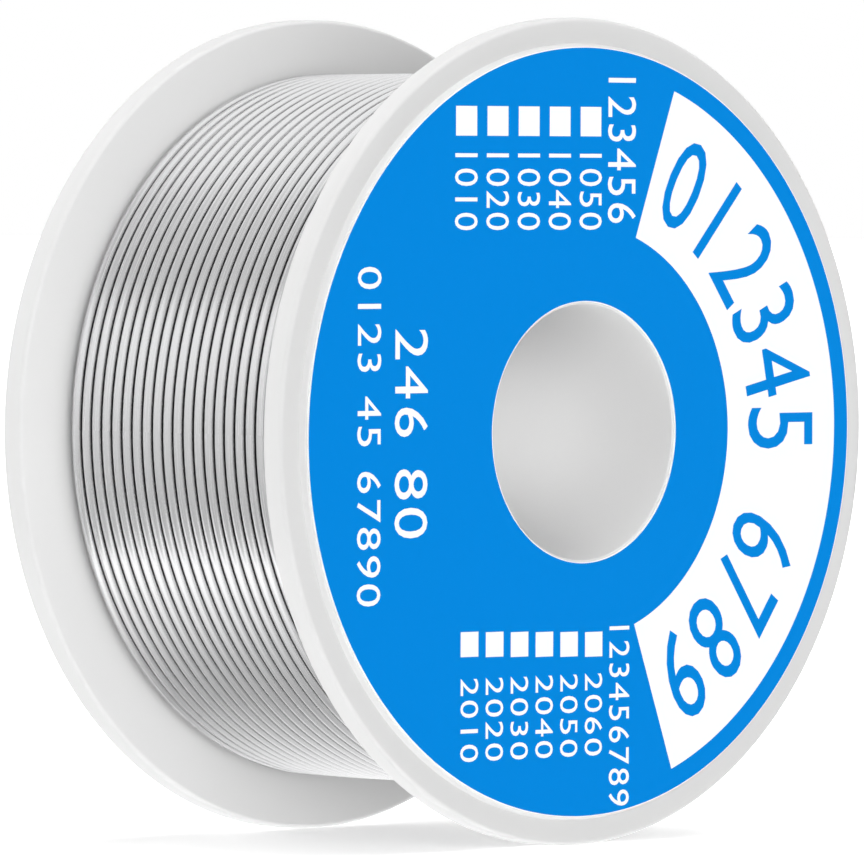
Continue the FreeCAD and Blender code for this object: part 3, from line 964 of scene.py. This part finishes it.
class REEL_OT_print(bpy.types.Operator):
    """Lays the white band, the tick boxes and plain numbers on the label."""

    bl_idname = "solder_reel.print"
    bl_label = "Print"

    def execute(self, context):
        sizes = context.scene.reel_sizes
        white, blue = paper_finish(context), ink_finish(context)
        add_piece("print_band", white_band(sizes), [white])
        add_piece("print_boxes", tick_boxes(sizes), [white])
        digits = printed_numbers(band_numbers(), INK_LEVEL, sizes)
        add_piece("print_band_numbers", digits, [blue])
        digits = printed_numbers(tick_numbers() + list(PLAIN_ROWS), PAPER_LEVEL, sizes)
        add_piece("print_numbers", digits, [white])
        return {"FINISHED"}


class REEL_OT_winding(bpy.types.Operator):
    """Winds the outer layer of wire, with its bent ends and the flux in its cut end."""

    bl_idname = "solder_reel.winding"
    bl_label = "Winding"

    def execute(self, context):
        sizes, colours = context.scene.reel_sizes, context.scene.reel_colours
        radius = millimetres(sizes.wire_diameter) / 2
        flux_radius = millimetres(sizes.flux_diameter) / 2
        coil_radius = millimetres(sizes.winding_radius) - radius
        bend = millimetres(sizes.wire_bend)
        front_end, rear_end = -millimetres(sizes.inner_face), millimetres(winding_high[1])
        pitch, turns = millimetres(sizes.wire_pitch), sizes.turns
        lead = math.atan(bend / coil_radius)
        low = (lead / (2 * math.pi) - turns / 2) * pitch
        shape = bmesh.new()
        coil(shape, coil_radius, radius, pitch, turns, low, lead, 1, WIRE_SIDES)
        bent_end(shape, coil_radius, radius, lead, low, bend, front_end, WIRE_SIDES)
        cap = bent_end(shape, coil_radius, radius, -lead, -low, bend, rear_end, WIRE_SIDES)
        bmesh.ops.inset_individual(shape, faces=cap, thickness=radius - flux_radius, use_even_offset=True)
        bored = bmesh.ops.extrude_discrete_faces(shape, faces=cap)["faces"]
        bore_verts = list(dict.fromkeys(vert for face in bored for vert in face.verts))
        bmesh.ops.translate(shape, verts=bore_verts, vec=(0.0, -FLUX_BORE, 0.0))
        bmesh.ops.remove_doubles(shape, verts=shape.verts[:], dist=TOUCH)
        bmesh.ops.recalc_face_normals(shape, faces=shape.faces[:])
        wire = finish("tin-lead wire, drawn", drawn_wire, sizes, colours, sizes.winding_radius,
                      OUTER_SHINE, OUTER_TARNISH)
        add_piece("winding_outer", shape, [wire], "solder_outer_layer")

        thread_radius = flux_radius - FLUX_PLAY
        thread = turned_solid([
            (0.0, rear_end - FLUX_LENGTH), (thread_radius, rear_end - FLUX_LENGTH),
            (thread_radius, rear_end - FLUX_EDGE), (0.0, rear_end - FLUX_MIDDLE)], FLUX_STEPS)
        bmesh.ops.translate(thread, verts=thread.verts[:], vec=(math.hypot(coil_radius, bend), 0.0, 0.0))
        amber = finish("rosin flux, solid", rosin_flux, colours)
        add_piece("flux_thread", thread, [amber], "flux_core")
        return {"FINISHED"}


class REEL_OT_lower_layers(bpy.types.Operator):
    """Models the layers of wire under the outer one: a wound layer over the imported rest."""

    bl_idname = "solder_reel.lower_layers"
    bl_label = "Lower layers"

    def execute(self, context):
        sizes, colours = context.scene.reel_sizes, context.scene.reel_colours
        radius, pitch = millimetres(sizes.wire_diameter) / 2, millimetres(sizes.wire_pitch)
        crown, half = millimetres(inner_high[0]), millimetres(inner_high[1])
        middle = crown - radius
        turns = int(2 * (half - radius) / pitch)
        shape = bmesh.new()
        coil(shape, middle, radius, pitch, turns, -turns / 2 * pitch, 0.0, -1, LOWER_WIRE_SIDES)
        bmesh.ops.remove_doubles(shape, verts=shape.verts[:], dist=TOUCH)
        bmesh.ops.holes_fill(shape, edges=shape.edges[:], sides=LOWER_WIRE_SIDES)
        bmesh.ops.recalc_face_normals(shape, faces=shape.faces[:])
        # The layer under the outer turns and the core take a darker, filmed copy of the wire: painted shade.
        wire = finish("tin-lead wire, drawn, with painted shade", drawn_wire, sizes, colours, crown * MM,
                      LOWER_SHADED_SHINE, LOWER_SHADE_FILM)
        add_piece("winding_lower", shape, [wire], "solder_inner_layers")

        inside, outside = millimetres(sizes.drum_radius) + CORE_PLAY, middle - CORE_DEPTH
        core = turned_solid([(inside, -half), (outside, -half), (outside, half), (inside, half)])
        add_piece("winding_core", core, [wire], "solder_inner_layers")
        return {"FINISHED"}


OPERATORS = (
    REEL_OT_camera,
    REEL_OT_stage,
    REEL_OT_flanges,
    REEL_OT_barrel,
    REEL_OT_label,
    REEL_OT_print,
    REEL_OT_winding,
    REEL_OT_lower_layers,
)


class REEL_PT_panel(bpy.types.Panel):
    """Sizes, colours and steps of the solder reel."""

    bl_idname = "REEL_PT_panel"
    bl_label = "Solder Reel"
    bl_space_type = "VIEW_3D"
    bl_region_type = "UI"
    bl_category = "Reel"

    def draw(self, context):
        for step in OPERATORS:
            self.layout.operator(step.bl_idname)
        for group in (context.scene.reel_sizes, context.scene.reel_colours):
            column = self.layout.column(align=True)
            for name in group.__annotations__:
                column.prop(group, name)


CLASSES = (ReelSizes, ReelColours) + OPERATORS + (REEL_PT_panel,)


def register():
    """Registers the classes and gives the scene its sizes and colours."""
    for cls in CLASSES:
        bpy.utils.register_class(cls)
    bpy.types.Scene.reel_sizes = bpy.props.PointerProperty(type=ReelSizes)
    bpy.types.Scene.reel_colours = bpy.props.PointerProperty(type=ReelColours)


def unregister():
    """Takes back all that register did."""
    del bpy.types.Scene.reel_colours
    del bpy.types.Scene.reel_sizes
    for cls in reversed(CLASSES):
        bpy.utils.unregister_class(cls)


def main():
    """Builds the whole reel."""
    register()
    bpy.ops.solder_reel.camera()
    bpy.ops.solder_reel.stage()
    bpy.ops.solder_reel.flanges()
    bpy.ops.solder_reel.barrel()
    bpy.ops.solder_reel.label()
    bpy.ops.solder_reel.print()
    bpy.ops.solder_reel.winding()
    bpy.ops.solder_reel.lower_layers()


if __name__ == "__main__":
    main()
